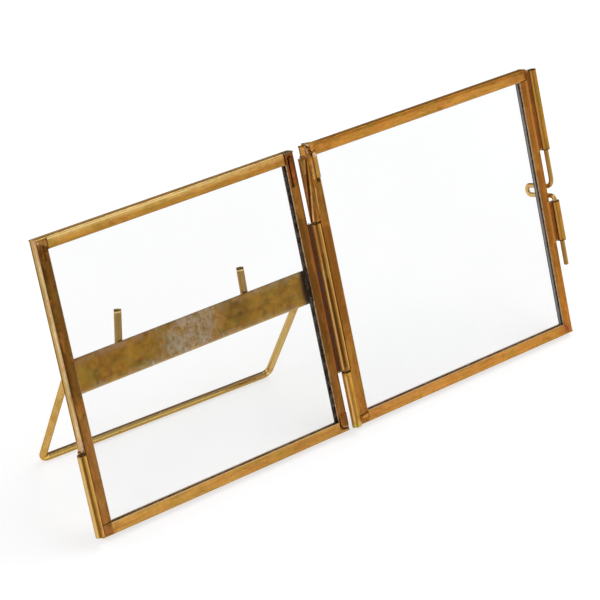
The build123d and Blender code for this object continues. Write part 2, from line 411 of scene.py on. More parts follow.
def lay_painted_shading(tree, place, grime, color, rough, bare):
    """Painted light and shade along lines: a colour that stands in for light or shade, with the metal under
    it made dull so that the colour shows.
    """
    for line in grime:
        drawn = put_mark(tree, place, color, line, SHADING_FRAY)
        dulled = put_group(tree, matte_cover, mask=drawn["Mask"], share=line[-1], roughness=rough, bare=bare)
        color, rough, bare = drawn["Color"], dulled["Roughness"], dulled["Bare"]
    return color, rough, bare


print("film takes", given.keys()[:-1])

# %% [markdown]
# ## Tones of a folded channel
# Each channel was cut from its own strip, so each has its own tones. They drift from one end to the other.
# Along its fold a channel takes a tone that is painted light: a painted highlight where the rounded fold
# would mirror the bright room, painted shade where it would mirror a dark one. Along its lip the tone
# changes again. The heat of soldering left a copper tint at the corners. The side, which looks away from
# the window, has a tone of its own, partly painted light, a darker back edge, and on one stile a painted
# highlight along a ridge.

# %% Channel tones group
TONE_WANDER = 60.0
TONE_HALF_RUN = 34.0
HEAT_SHARE = 0.5
RIDGE_OUT = -1.1
COPPER_TINT = tone(158, 92, 46)
SIDE_PAINTED_HIGHLIGHT = tone(226, 208, 172)
BACK_EDGE = tone(92, 60, 26)
tones, given, group_out = new_group(
    "channel tones",
    {"Place": ORIGIN, "Along": 0.0, "Edge": 0.0, "Out": 0.0, "Corner": 0.0, "First": BRASS, "Last": BRASS,
     "Fold": BRASS, "Fold share": 0.5, "Fold reach": 1.25, "Lip": BRASS, "Lip share": 0.5, "Side": BRASS,
     "Side shine": 0.0},
    {"Color": COLOR},
)
wander = calc(tones, "SUBTRACT", noise(tones, given["Place"], 0.08), 0.5)
along = calc(tones, "ADD", given["Along"], product(tones, wander, TONE_WANDER))
color = blend(tones, rise(tones, along, -TONE_HALF_RUN, TONE_HALF_RUN), given["First"], given["Last"])
# Painted light along the fold: a painted highlight on some channels, painted shade on others.
near_fold = rise(tones, given["Edge"], given["Fold reach"], SHEET)
color = tint(tones, color, given["Fold"], near_fold, given["Fold share"])
near_lip = rise(tones, given["Edge"], 2.9, 3.8)
color = tint(tones, color, given["Lip"], near_lip, given["Lip share"])
warm = product(tones, rise(tones, noise(tones, given["Place"], 0.35, 4.0), 0.4, 0.62), given["Corner"])
color = tint(tones, color, COPPER_TINT, warm, HEAT_SHARE)
# The side's own tone, partly painted light, then a painted highlight along a ridge of the side.
web = rise(tones, given["Edge"], 0.35, 0.1)
color = blend(tones, web, color, given["Side"])
off_ridge = calc(tones, "ABSOLUTE", calc(tones, "SUBTRACT", given["Out"], RIDGE_OUT))
ridge = product(tones, rise(tones, off_ridge, 1.0, 0.2), web)
color = tint(tones, color, SIDE_PAINTED_HIGHLIGHT, ridge, given["Side shine"])
back_edge = product(tones, web, rise(tones, given["Out"], -2.5, -3.4))
color = blend(tones, back_edge, color, BACK_EDGE)
put_out(tones, group_out, Color=color)
print("channel tones take", given.keys()[:-1])

# %% [markdown]
# ## Wear and painted shade of a folded channel
# The lip was cut and never polished, so it is bare and greyish in front. At the back it is painted dark,
# as painted shade, since the back lip lies in shade behind the glass. The groove between front and back
# holds the glass. No cloth reaches it, so it mirrors hardly at all, and it is painted dark, for grime and
# for the shade inside it, with pale dust. On one stile light falls in, and the groove's inner edge has a
# painted highlight.

# %% Channel wear group
GROOVE_DULL = 0.9
GROOVE_GRIME_AND_SHADE = tone(56, 46, 42)
GROOVE_PAINTED_HIGHLIGHT = tone(250, 248, 244)
GROOVE_DUST = tone(164, 154, 144)
BARE_LIP = tone(190, 158, 122)
BACK_LIP_PAINTED_SHADE = tone(74, 62, 54)
wear, given, group_out = new_group(
    "channel wear",
    {"Place": ORIGIN, "Edge": 0.0, "Out": 0.0, "Groove": 0.0, "Groove shine": 0.0, "Color": BRASS},
    {"Color": COLOR, "Bare": FLOAT},
)
lip_wear = rise(wear, noise(wear, given["Place"], 0.9, 3.0, 0.6), 0.3, 0.6)
lip_wear = product(wear, lip_wear, rise(wear, given["Edge"], 3.82, 3.96))
color = blend(wear, lip_wear, given["Color"], BARE_LIP)
# Painted shade on the back lip, which lies in shade behind the glass.
back_lip_shade = product(wear, rise(wear, given["Edge"], 3.85, 3.95), rise(wear, given["Out"], -3.2, -3.4))
color = blend(wear, back_lip_shade, color, BACK_LIP_PAINTED_SHADE)
# The groove is painted dark, for grime and for the shade inside it, with pale dust.
dust = rise(wear, noise(wear, given["Place"], 0.35, 4.0, 0.7), 0.4, 0.68)
inside = blend(wear, dust, GROOVE_GRIME_AND_SHADE, GROOVE_DUST)
# A painted highlight on the groove's inner edge, where light falls in.
inside = tint(wear, inside, GROOVE_PAINTED_HIGHLIGHT, rise(wear, given["Edge"], 3.0, 3.5), given["Groove shine"])
color = blend(wear, given["Groove"], color, inside)
bare = calc(wear, "SUBTRACT", 1.0, product(wear, given["Groove"], GROOVE_DULL))
put_out(wear, group_out, Color=color, Bare=bare)
print("channel wear takes", given.keys()[:-1])

# %% [markdown]
# ## What each channel looks like
# The rails are golden and the stiles browner. This is partly painted light: along a rail the rolled grain
# would mirror the bright ceiling, across a stile the darker room. The outer left stile is darkest at its
# top. A table holds the tones of every channel, each with the share that it covers, and its marks: seams
# where two channels meet, stains of heat, painted glints and lines of painted highlight and shade. A line
# in a list of marks or of painted shading is where it starts and ends on the leaf, its width, its ink and
# the ink's share.

# %% Channel looks
SEAM_DARK = tone(62, 34, 16)
PAINTED_GLINT = tone(252, 226, 190)
LEFT_TAB = (-4.5, 98.5)
RIGHT_TAB = (5.7, 97.5)


def tab_grime_and_shadow(x, top):
    """Dark arch round the head of a corner tab: grime, and painted contact shadow under the raised head."""
    return ((x, top - 2.6), (x, top - 0.9), 1.4, tone(52, 28, 14), 0.95)


# Painted dark reflection on the top face at the left leaf's inner top corner.
END_CAP_PAINTED_DARK = ((-5.6, 100.2), (-2.4, 100.2), 1.1, tone(70, 64, 60), 0.9)
# A dark seam curling down the head of the right hinge stile, with painted glints and a painted highlight
# beside it.
head_curl = [
    ((2.6, 100.6), (3.5, 99.7), 0.5, SEAM_DARK, 0.8),
    ((3.5, 99.7), (4.3, 98.2), 0.5, SEAM_DARK, 0.95),
    ((4.3, 98.2), (4.8, 96.6), 0.5, SEAM_DARK, 0.9),
    ((3.0, 100.7), (3.9, 99.9), 0.4, PAINTED_GLINT, 0.6),
    ((2.9, 99.0), (3.3, 97.4), 0.4, PAINTED_GLINT, 0.35),
    ((4.9, 100.0), (5.6, 99.4), 0.9, tone(236, 176, 96), 0.5),
]
WINDOW = HINGE_EDGE + FLANGE
RIM = OUTER_EDGE - FLANGE
upper_seam = ((RIM, 96.0), (OUTER_EDGE, 96.2), 0.28, tone(112, 66, 26), 0.85)
lower_corner = [
    ((RIM, 4.2), (105.4, 1.6), 0.35, SEAM_DARK, 0.8),
    ((103.6, 4.2), (104.9, 2.0), 1.8, tone(150, 80, 58), 0.45),
]
channel_looks = {
    "left_outer_stile": dict(
        # The dark fold is painted shade, and the pale ridge on the side a painted highlight.
        run=UPRIGHT, ends=(tone(152, 103, 51), tone(106, 70, 28)), fold=(tone(88, 54, 15), 0.75),
        lip=(tone(112, 80, 44), 0.6), side=tone(190, 156, 102), side_shine=0.7, olive_share=0.25,
        marks=[
            ((-105.2, 92), (-105.4, 52), 0.8, tone(126, 84, 36), 0.7),
            ((-104.4, 40), (-104.4, 20), 1.0, tone(166, 118, 66), 0.5),
            ((-RIM, 95.8), (-RIM, 99.6), 0.3, SEAM_DARK, 0.45),
            ((-105.3, 93), (-105.3, 99.6), 0.4, tone(78, 48, 14), 0.7),
            ((-106.2, 98.9), (-103.6, 98.0), 1.3, tone(190, 140, 74), 0.6),
            ((-106.9, 98.6), (-103.7, 96.3), 0.3, SEAM_DARK, 0.5),
            ((-107.7, 30.0), (-107.6, 32.8), 0.45, tone(208, 174, 142), 0.55),
            # Painted glints at the top and bottom corners.
            ((-107.0, 99.0), (-106.8, 98.4), 0.35, PAINTED_GLINT, 0.45),
            ((-107.3, 4.1), (-107.4, 0.6), 0.3, PAINTED_GLINT, 0.6),
            ((-OUTER_EDGE, 4.2), (-RIM, 4.5), 0.3, SEAM_DARK, 0.9),
            ((-106.0, 3), (-104.6, 2.4), 2.2, tone(164, 108, 70), 0.2),
            ((-105.2, 3.6), (-104.6, 3.4), 0.7, tone(104, 84, 24), 0.6),
        ],
    ),
    "left_hinge_stile": dict(
        run=UPRIGHT, ends=(tone(130, 83, 34), tone(150, 97, 39)), fold=(tone(118, 76, 36), 0.4),
        lip=(tone(110, 78, 40), 0.6), side=tone(150, 92, 50), olive_share=0.25,
        # Painted light: a lighter, duller band lifts the shade beside the middle knuckle.
        grime=[((-2.9, 73.5), (-2.9, 21.5), 0.8, tone(206, 126, 58), 0.75)],
        marks=[
            ((-5.6, 76), (-5.6, 30), 1.7, tone(90, 58, 25), 0.6),
            ((-3.5, 89), (-3.7, 78), 1.6, tone(164, 110, 46), 0.55),
            ((-3.6, 56), (-3.9, 44), 1.3, tone(98, 60, 28), 0.5),
            ((-4.6, 24), (-4.4, 8), 1.8, tone(150, 100, 46), 0.45),
            END_CAP_PAINTED_DARK,
            ((-4.6, 99.5), (-4.4, 90), 2.6, tone(138, 70, 34), 0.6),
            tab_grime_and_shadow(*LEFT_TAB),
            ((-5.4, 88.9), (-5.3, 88.4), 0.8, tone(40, 24, 12), 0.9),
            ((-WINDOW, 95.6), (-WINDOW, 99.8), 0.45, SEAM_DARK, 0.95),
            ((-HINGE_EDGE, 0.3), (-WINDOW, 0.3), 1.0, tone(186, 134, 66), 0.9),
            ((-6.3, 5.4), (-6.3, 3.0), 0.42, SEAM_DARK, 0.9),
            ((-6.3, 3.0), (-5.3, 1.5), 0.42, SEAM_DARK, 0.9),
            ((-5.3, 1.5), (-3.2, 1.15), 0.42, SEAM_DARK, 0.9),
            # A painted glint on the lap's rim.
            ((-5.2, 2.2), (-3.4, 1.8), 0.25, PAINTED_GLINT, 0.2),
        ],
    ),
    "right_hinge_stile": dict(
        run=UPRIGHT, ends=(tone(160, 107, 45), tone(144, 93, 40)), fold=(tone(138, 90, 40), 0.5),
        lip=(tone(136, 92, 42), 0.5), side=tone(186, 138, 70), olive_share=0.3,
        # Painted light that lifts the shade beside the tab.
        grime=[((4.9, 89.0), (5.1, 95.5), 0.8, tone(240, 186, 104), 0.85)],
        marks=[
            # Painted shadow of the middle knuckle on the stile, and a painted highlight beside the lower
            # knuckle.
            ((2.9, 74), (2.9, 21), 0.3, tone(92, 52, 20), 0.8),
            ((2.75, 20), (2.75, 4), 0.45, tone(250, 200, 128), 0.85),
            ((4.5, 70), (4.3, 38), 2.3, tone(128, 78, 29), 0.6),
            ((3.6, 30), (3.9, 12), 1.2, tone(178, 122, 54), 0.5),
            tab_grime_and_shadow(*RIGHT_TAB),
            ((5.2, 88.0), (5.4, 87.4), 0.8, tone(40, 24, 12), 0.9),
            # Painted highlights beside the upper knuckle, where the real, slanted knuckle shows its bright
            # line on the stile.
            ((2.8, 76.0), (3.55, 85.0), 0.42, tone(216, 164, 96), 0.75),
            ((4.3, 88.8), (4.9, 95.0), 1.0, tone(222, 168, 94), 0.8),
            *head_curl,
            ((3.0, 3.2), (6.4, 3.7), 0.3, SEAM_DARK, 0.7),
        ],
    ),
    "right_outer_stile": dict(
        run=UPRIGHT, ends=(tone(182, 117, 45), tone(162, 101, 40)), fold=(tone(164, 110, 48), 0.5),
        # The groove's pale inner edge here is a painted highlight.
        lip=(tone(140, 98, 54), 0.6), side=tone(200, 146, 86), olive_share=0.25, groove_shine=1.0,
        # Painted light that lifts the shade beside the two bolt guides.
        grime=[
            ((107.3, 99.0), (107.3, 70.0), 1.5, tone(252, 176, 90), 0.85),
            ((107.3, 49.6), (107.3, 35.6), 1.5, tone(252, 176, 90), 0.85),
        ],
        marks=[
            ((104.6, 62), (104.6, 36), 1.5, tone(132, 84, 35), 0.5),
            ((106.4, 90), (106.2, 70), 1.0, tone(182, 120, 48), 0.5),
            upper_seam,
            *lower_corner,
        ],
    ),
    "left_top_rail": dict(
        # The bright fold is a painted highlight.
        run=LEVEL, ends=(tone(200, 146, 64), tone(188, 136, 58)), fold=(tone(238, 194, 118), 0.75),
        fold_reach=2.9, lip=(tone(166, 124, 58), 0.6), side=tone(192, 164, 118), contrast=0.7,
        marks=[
            # A painted highlight along the upper fold, fading out to the right.
            ((-103.0, 99.3), (-48.0, 99.3), 0.45, tone(255, 226, 148), 0.85),
            ((-48.0, 99.3), (-34.0, 99.35), 0.4, tone(255, 226, 148), 0.55),
            ((-34.0, 99.35), (-18.0, 99.4), 0.35, tone(255, 226, 148), 0.25),
            ((-RIM + 0.1, 95.8), (-RIM + 0.1, 99.6), 0.3, SEAM_DARK, 0.8),
            END_CAP_PAINTED_DARK,
            ((-WINDOW - 0.1, 95.6), (-WINDOW - 0.1, 99.8), 0.4, SEAM_DARK, 0.95),
        ],
    ),
    "left_bottom_rail": dict(
        run=LEVEL, ends=(tone(202, 150, 74), tone(184, 132, 64)), fold=(tone(186, 148, 76), 0.6),
        contrast=0.75, lip=(tone(196, 150, 80), 0.5), side=tone(160, 124, 62),
        # A painted highlight along the lip.
        grime=[((-103.4, 3.95), (-6.8, 3.95), 0.28, tone(240, 196, 128), 0.55)],
        marks=[((-RIM, 3.9), (-RIM, 4.2), 0.3, SEAM_DARK, 0.8)],
    ),
    "right_top_rail": dict(
        # The dark fold is painted shade.
        run=LEVEL, ends=(tone(203, 140, 60), tone(203, 142, 66)), fold=(tone(146, 98, 38), 0.8),
        contrast=0.75, fold_reach=1.5, lip=(tone(186, 138, 74), 0.5), side=tone(166, 110, 40),
        marks=[upper_seam, *head_curl],
    ),
    "right_bottom_rail": dict(
        run=LEVEL, ends=(tone(199, 138, 67), tone(199, 137, 62)), fold=(tone(190, 142, 64), 0.6),
        contrast=0.75, lip=(tone(186, 136, 76), 0.5), side=tone(160, 118, 58),
        # A painted highlight along the lip.
        grime=[((7.0, 3.95), (103.4, 3.95), 0.28, tone(224, 174, 118), 0.5)],
        marks=[
            ((3.8, 3.2), (6.5, 3.5), 0.32, SEAM_DARK, 0.6),
            ((6.5, 3.4), (6.7, 1.8), 0.32, SEAM_DARK, 0.6),
            ((6.7, 1.8), (3.7, 1.7), 0.32, SEAM_DARK, 0.55),
            *lower_corner,
        ],
    ),
}
print("looks for", len(channel_looks), "channels")

# %% [markdown]
# ## Brass for the folded channels
# One function puts the groups together for all eight channels: tones, patina, marks, wear and painted
# shading. A narrow mark, such as a scratch, a seam, a painted glint and a painted highlight line, is crisp
# and dips into the surface. A wide one, such as a stain and a broad patch of painted light, is ragged and
# flat.

# %% Channel brass
RAIL_MIDDLE = 55.0
STILE_MIDDLE = 46.0
NARROW_LINE_WIDTH = 0.5
NARROW_LINE_FRAY = 0.08
WIDE_MARK_FRAY = 0.6


def channel_brass(name, run, ends, fold, lip, side, fold_reach=1.25, groove_shine=0.0, side_shine=0.0,
                  marks=(), grime=(), **shares):
    """Brass of one channel: tones at its two ends, along its fold, along its lip and on its side."""
    material, tree = start_material(name)
    leaf = place_on_leaf(tree)
    place, edge, out = leaf["Place"], leaf["Edge"], leaf["Out"]
    if run is LEVEL:
        along = calc(tree, "ADD", leaf["X"], -RAIL_MIDDLE if name.startswith("right") else RAIL_MIDDLE)
    else:
        along = calc(tree, "SUBTRACT", leaf["Up"], STILE_MIDDLE)
    body = put_group(
        tree, tones, place=place, along=along, edge=edge, out=out, corner=leaf["Corner"], first=ends[0],
        last=ends[1], fold=fold[0], fold_share=fold[1], fold_reach=fold_reach, lip=lip[0], lip_share=lip[1],
        side=side, side_shine=side_shine,
    )
    skin = put_patina(tree, place, run, tone=body["Color"], **shares)
    color, height = skin["Color"], skin["Height"]
    for line in marks:
        is_narrow_line = line[2] < NARROW_LINE_WIDTH
        drawn = put_mark(tree, place, color, line, NARROW_LINE_FRAY if is_narrow_line else WIDE_MARK_FRAY)
        color = drawn["Color"]
        if is_narrow_line:
            height = calc(tree, "SUBTRACT", height, drawn["Mask"])
    worn = put_group(
        tree, wear, place=place, edge=edge, out=out, groove=leaf["Groove"], groove_shine=groove_shine,
        color=color,
    )
    color, rough, bare = lay_painted_shading(tree, place, grime, worn["Color"], skin["Roughness"], worn["Bare"])
    return finish_metal(material, color, rough, height, bare)


def dress(material, *names):
    """Gives solids a finish, in every material slot that they have."""
    for name in names:
        slots = nodes[name].material_slots
        if not slots:
            nodes[name].data.materials.append(material)
        for slot in slots:
            slot.material = material


channel_finishes = {name: channel_brass(name + "_brass", **looks) for name, looks in channel_looks.items()}
for name, finish in channel_finishes.items():
    dress(finish, name)
print("brass on", len(channel_finishes), "channels")

# %% [markdown]
# ## Where on a rolled tube a point lies
# The knuckles, guides and catch are rolled from strip. Painted highlights and painted dark reflections run
# along a tube, so they are easiest to place on the strip before it was rolled: the angle round the tube's
# axis, times its radius, is the way across the strip. The group also says how far beside the axis a point
# lies, and gives a mask of the low part, close to the leaf.

# %% Tube place group
TUBE_OUT = 0.9
TUBE_RADIUS = 1.6
LOW_START = TUBE_OUT + 1.0
LOW_FULL = TUBE_OUT + 0.1
tube_place, given, group_out = new_group(
    "tube place",
    {"X": 0.0, "Up": 0.0, "Out": 0.0, "Axis": 0.0},
    {"Strip": VECTOR, "Beside": FLOAT, "Low": FLOAT},
)
sideways = calc(tube_place, "SUBTRACT", given["X"], given["Axis"])
turn = calc(tube_place, "ARCTAN2", sideways, calc(tube_place, "SUBTRACT", given["Out"], TUBE_OUT))
across = product(tube_place, turn, TUBE_RADIUS)
strip = add(tube_place, "ShaderNodeCombineXYZ", {0: across, 1: given["Up"]}).outputs[0]
low = rise(tube_place, given["Out"], LOW_START, LOW_FULL)
put_out(tube_place, group_out, Strip=strip, Beside=calc(tube_place, "ABSOLUTE", sideways), Low=low)
print("tube place puts out", group_out.keys()[:-1])

# %% [markdown]
# ## Soldered necks
# A tube's neck is soldered to the leaf. On the hinge the necks are brown and purple in patches: heat tint,
# and painted shade for the crevice there. On the guides and the catch they are golden and light, which is
# painted light that lifts the deep shade beside the tube. A neck begins some way beside the axis and below
# a given height, so two soft steps find it.

# %% Neck group
neck_tones, given, group_out = new_group(
    "soldered neck",
    {"Place": ORIGIN, "Out": 0.0, "Beside": 0.0, "Reach": 1.7, "Top": 3.0, "Brown": BRASS, "Purple": BRASS,
     "Color": BRASS},
    {"Color": COLOR},
)
patchy = rise(neck_tones, noise(neck_tones, given["Place"], 0.4), 0.4, 0.6)
heat = blend(neck_tones, patchy, given["Brown"], given["Purple"])
beside = rise(neck_tones, given["Beside"], given["Reach"], calc(neck_tones, "ADD", given["Reach"], 0.15))
below = rise(neck_tones, given["Out"], given["Top"], calc(neck_tones, "SUBTRACT", given["Top"], 0.4))
put_out(neck_tones, group_out, Color=blend(neck_tones, product(neck_tones, beside, below), given["Color"], heat))
print("soldered neck takes", given.keys()[:-1])

# %% [markdown]
# ## Brass for the rolled tubes
# A tube gets patina, painted highlights and shade along its strip, and a soldered neck. Close to the leaf
# the brass is dull and mirrors less, and its flank tone there is mostly a little lighter, painted light
# that lifts the shade by the leaf. Rings of grime sit at the ends, where two knuckles meet or the wire
# comes out. A yellow foot of solder is left on the lowest knuckle.

# %% Tube brass
BOLT_X = 109.38
HINGE_NECK = dict(reach=1.7, top=3.0, brown=tone(132, 84, 50), purple=tone(114, 88, 90))
# The bolt necks are golden and light: painted light in the deep shade beside the guides and the catch.
BOLT_NECK = dict(reach=1.4, top=0.8, brown=tone(226, 164, 92), purple=tone(206, 146, 82))
HINGE = dict(axis=0.0, neck=HINGE_NECK)
GUIDE = dict(axis=BOLT_X, neck=BOLT_NECK)
CATCH = dict(axis=-BOLT_X, neck=BOLT_NECK)
RING_GRIME = tone(40, 26, 14)
RING_HALF = 150
RING_FRAY = 0.12
SOLDER_FOOT = tone(196, 172, 84)
STREAK_FRAY = 0.06
TUBE_POLISH = 0.04
LOW_DULL = 0.75


def tube_brass(name, axis, neck, body, flank, rings, painted_light, foot=False):
    """Brass of one rolled tube, with the x of its axis, its two tones, its rings, and its lines of painted
    highlight and shade.
    """
    material, tree = start_material(name)
    leaf = place_on_leaf(tree)
    place, out = leaf["Place"], leaf["Out"]
    tube = put_group(tree, tube_place, x=leaf["X"], up=leaf["Up"], out=out, axis=axis)
    # Close to the leaf the flank tone takes over, mostly a little lighter: painted light that lifts the shade
    # there.
    skin = put_patina(
        tree, place, UPRIGHT, tone=blend(tree, tube["Low"], body, flank), dark=tone(92, 60, 20),
        blush_share=0.5, olive_share=0.6, dark_share=0.4, contrast=0.8,
    )
    color = skin["Color"]
    for line in painted_light:
        color = put_mark(tree, tube["Strip"], color, line, STREAK_FRAY)["Color"]
    heated = put_group(tree, neck_tones, place=place, out=out, beside=tube["Beside"], color=color, **neck)
    color = heated["Color"]
    for up in rings:
        ring = ((-RING_HALF, up), (RING_HALF, up), 0.55, RING_GRIME, 0.9)
        color = put_mark(tree, place, color, ring, RING_FRAY)["Color"]
    if foot:
        color = blend(tree, rise(tree, leaf["Up"], 3.2, 1.2), color, SOLDER_FOOT)
    rough = calc(tree, "SUBTRACT", skin["Roughness"], TUBE_POLISH)
    bare = calc(tree, "SUBTRACT", 1.0, product(tree, tube["Low"], LOW_DULL))
    return finish_metal(material, color, rough, skin["Height"], bare)


print("tube brass ready")

# %% [markdown]
# ## What each tube looks like
# The upper and middle knuckles are browner than the other tubes. Each tube has lines of painted light:
# painted highlights, dark painted reflections and painted shadow in the gap beside the leaf. The upper
# knuckle of the real frame sits at a slant, so on this knuckle they run at a slant too. The table gives
# each tube its tones, its rings and its lines of painted light. A line's x is the way across the unrolled
# strip, with 0 facing straight out of the leaf.

# %% Tube looks
LOWER_JOINT = 20.75
UPPER_JOINT = 74.05
# Painted highlights at both sides, dark painted reflections down the middle, and painted shade by the neck.
middle_painted_light = [
    ((-3.1, 73), (-3.1, 22), 0.8, tone(136, 94, 56), 0.75),
    ((-1.87, 60), (-1.87, 22), 0.5, tone(236, 184, 116), 0.75),
    ((-1.87, 74), (-1.87, 58), 0.45, tone(196, 140, 76), 0.6),
    ((-0.9, 74), (-0.85, 58), 0.5, tone(128, 82, 28), 0.6),
    ((-0.85, 63), (-0.77, 24), 0.4, tone(110, 72, 24), 0.6),
    ((-0.85, 54), (-0.77, 23), 0.75, tone(96, 62, 18), 0.6),
    ((0.62, 73), (0.62, 22), 0.36, tone(236, 192, 128), 0.55),
]
# The same on the slanted upper knuckle, with painted shadow by its neck.
upper_painted_light = [
    ((0.6, 95), (-1.4, 75), 0.3, tone(214, 160, 92), 0.35),
    ((-0.3, 87), (-1.5, 75), 0.28, tone(240, 188, 118), 0.5),
    ((-0.7, 83.5), (-1.5, 75), 0.34, tone(255, 212, 142), 0.65),
    ((0.45, 84.5), (-0.45, 75.5), 0.35, tone(104, 62, 22), 0.5),
    ((0.08, 96), (-2.33, 75), 0.5, tone(80, 32, 12), 0.9),
    ((-0.75, 96), (-2.5, 78), 0.3, tone(190, 136, 78), 0.4),
    ((-0.75, 96), (-1.15, 91.5), 0.45, tone(224, 166, 98), 0.7),
    ((-2.0, 96), (-3.0, 78), 0.4, tone(176, 126, 76), 0.4),
]
# A darker painted reflection and a painted highlight.
lower_painted_light = [
    ((-0.5, 19), (-0.5, 3), 0.4, tone(176, 124, 44), 0.5),
    ((-1.45, 19), (-1.4, 3), 0.45, tone(250, 200, 134), 0.65),
]
# Painted shadow in the gap next to the stile, a painted highlight and a darker painted reflection.
guide_painted_light = [
    ((-2.47, 100), (-2.47, 35), 0.55, tone(108, 60, 20), 0.75),
    ((-1.4, 100), (-1.4, 35), 0.4, tone(224, 170, 96), 0.5),
    ((0.3, 100), (0.3, 35), 0.35, tone(150, 108, 40), 0.4),
]
# Painted shadow in the gap between the lower guide and the stile.
low_guide_painted_shadow = ((-2.47, 50), (-2.47, 35), 0.5, tone(62, 24, 6), 0.75)
# A darker painted reflection down the middle between two painted highlights.
catch_painted_light = [
    ((-0.72, 28.5), (-0.72, 2), 0.5, tone(140, 96, 26), 0.65),
    ((-2.0, 28.5), (-2.0, 2), 0.8, tone(244, 206, 132), 0.6),
    ((0.7, 28.5), (0.7, 2), 0.4, tone(240, 196, 130), 0.55),
]
tube_looks = {
    "middle_knuckle": dict(
        HINGE, body=tone(162, 116, 56), flank=tone(184, 142, 68),
        rings=(LOWER_JOINT, UPPER_JOINT), painted_light=middle_painted_light,
    ),
    "upper_knuckle": dict(
        HINGE, body=tone(134, 90, 42), flank=tone(172, 116, 58),
        rings=(UPPER_JOINT,), painted_light=upper_painted_light,
    ),
    "lower_knuckle": dict(
        HINGE, body=tone(208, 154, 68), flank=tone(212, 156, 72),
        rings=(LOWER_JOINT,), painted_light=lower_painted_light, foot=True,
    ),
    "upper_bolt_guide": dict(
        GUIDE, body=tone(186, 134, 54), flank=tone(196, 144, 64),
        rings=(69.4, 99.6), painted_light=guide_painted_light,
    ),
    "lower_bolt_guide": dict(
        GUIDE, body=tone(202, 142, 58), flank=tone(196, 144, 64),
        rings=(35.0, 50.2), painted_light=[*guide_painted_light, low_guide_painted_shadow],
    ),
    "catch_tube": dict(
        CATCH, body=tone(184, 138, 66), flank=tone(196, 150, 78),
        rings=(29.6,), painted_light=catch_painted_light,
    ),
}
for name, looks in tube_looks.items():
    dress(tube_brass(name + "_brass", **looks), name)
print("brass on", len(tube_looks), "tubes")

# %% [markdown]
# ## Brass for the strip
# The strip is the dullest piece, since it sits behind the glass. It is olive and brown in patches, dark
# along its upper edge, with a painted highlight along its lower one, and copper at the upper left. Solder
# flux left a grey haze across its middle, a thin film along both edges and some pale crumbs.

# %% Strip brass
AXLE_UP = 52.85
STRIP_RUN = ((0.7, 1.0, 1.0), LEVEL[1])
HAZE_X = -57
FLUX_HAZE = tone(198, 182, 158)
FLUX_CRUMB = tone(214, 204, 186)


def strip_finish():
    """Brass of the strip, blotched all over, with flux on its middle and along its edges."""
    material, tree = start_material("strip_brass")
    leaf = place_on_leaf(tree)
    place, x, up = leaf["Place"], leaf["X"], leaf["Up"]
    skin = put_patina(
        tree, place, STRIP_RUN, tone=tone(158, 114, 30), blush=tone(156, 96, 32), olive=tone(140, 118, 40),
        dark=tone(84, 58, 18), blush_share=0.8, olive_share=0.8, dark_share=0.5, contrast=0.7,
    )
    ragged = noise(tree, place, 0.3, 5.0, 0.72, 0.5)
    fine = noise(tree, reckon(tree, "MULTIPLY", place, (1.0, 0.6, 1.0)), 0.75, 6.0, 0.8, 0.4)
    cloud = noise(tree, place, 0.14, 4.0, 0.6, 0.8)
    depth = calc(tree, "ADD", product(tree, fine, 1.9), product(tree, cloud, 1.7))
    color = times(tree, skin["Color"], calc(tree, "SUBTRACT", depth, 0.82))
    above = calc(tree, "SUBTRACT", up, AXLE_UP)
    color = tint(tree, color, tone(80, 62, 40), rise(tree, above, 5.3, 5.8), 0.6)
    # A painted highlight along the lower edge.
    color = tint(tree, color, tone(214, 174, 96), rise(tree, above, -4.9, -5.6), 0.6)
    upper_left = product(
        tree, rise(tree, above, 1.6, 5.2), rise(tree, x, -62, -84), rise(tree, ragged, 0.36, 0.56)
    )
    color = tint(tree, color, tone(150, 88, 40), upper_left, 0.6)
    slant = calc(tree, "SUBTRACT", calc(tree, "SUBTRACT", x, HAZE_X), product(tree, above, 0.6))
    drifts = calc(tree, "ADD", product(tree, ragged, 2.6), product(tree, fine, 2.0))
    haze = product(tree, rise(tree, calc(tree, "ABSOLUTE", slant), 17, 2), rise(tree, drifts, 1.7, 3.1))
    edges = product(tree, rise(tree, calc(tree, "ABSOLUTE", above), 3.2, 5.6), 0.32)
    edges = product(tree, edges, rise(tree, ragged, 0.36, 0.62))
    haze = calc(tree, "MAXIMUM", haze, edges)
    color = blend(tree, haze, color, FLUX_HAZE)
    crumbs = product(
        tree, rise(tree, noise(tree, place, 0.8, 3.0, 0.7), 0.56, 0.68), rise(tree, up, 51.0, 47.6),
        rise(tree, x, -34, -52), rise(tree, x, -88, -70),
    )
    color = blend(tree, crumbs, color, FLUX_CRUMB)
    rough = calc(tree, "ADD", skin["Roughness"], product(tree, haze, 0.2))
    return finish_metal(material, color, rough, skin["Height"])


dress(strip_finish(), "stand_strip")
print("brass on the strip")

# %% [markdown]
# ## Brass for tabs and sleeves
# The tabs are dark round their rims, so a tab's own tone is drawn as one wide mark on the tone of its
# rim. The sleeves have patina and nothing else.

# %% Tab and sleeve brass
def plain_metal(name, run, body, **values):
    """Metal with patina and nothing else."""
    material, tree = start_material(name)
    skin = put_patina(tree, place_on_leaf(tree)["Place"], run, tone=body, **values)
    return finish_metal(material, skin["Color"], skin["Roughness"], skin["Height"])


def tab_finish(name, x, top, body, head, rim):
    """Brass of a corner tab, with a tone for its body, its head and its rim."""
    material, tree = start_material(name)
    leaf = place_on_leaf(tree)
    shown = blend(tree, rise(tree, leaf["Up"], top - 2.6, top - 1.4), body, head)
    skin = put_patina(tree, leaf["Place"], UPRIGHT, tone=shown, blush_share=0.5)
    inner = ((x, top - 20), (x, top - 1.1), 0.95, skin["Color"], 1.0)
    color = put_mark(tree, leaf["Place"], rim, inner, 0.1)["Color"]
    return finish_metal(material, color, skin["Roughness"], skin["Height"])


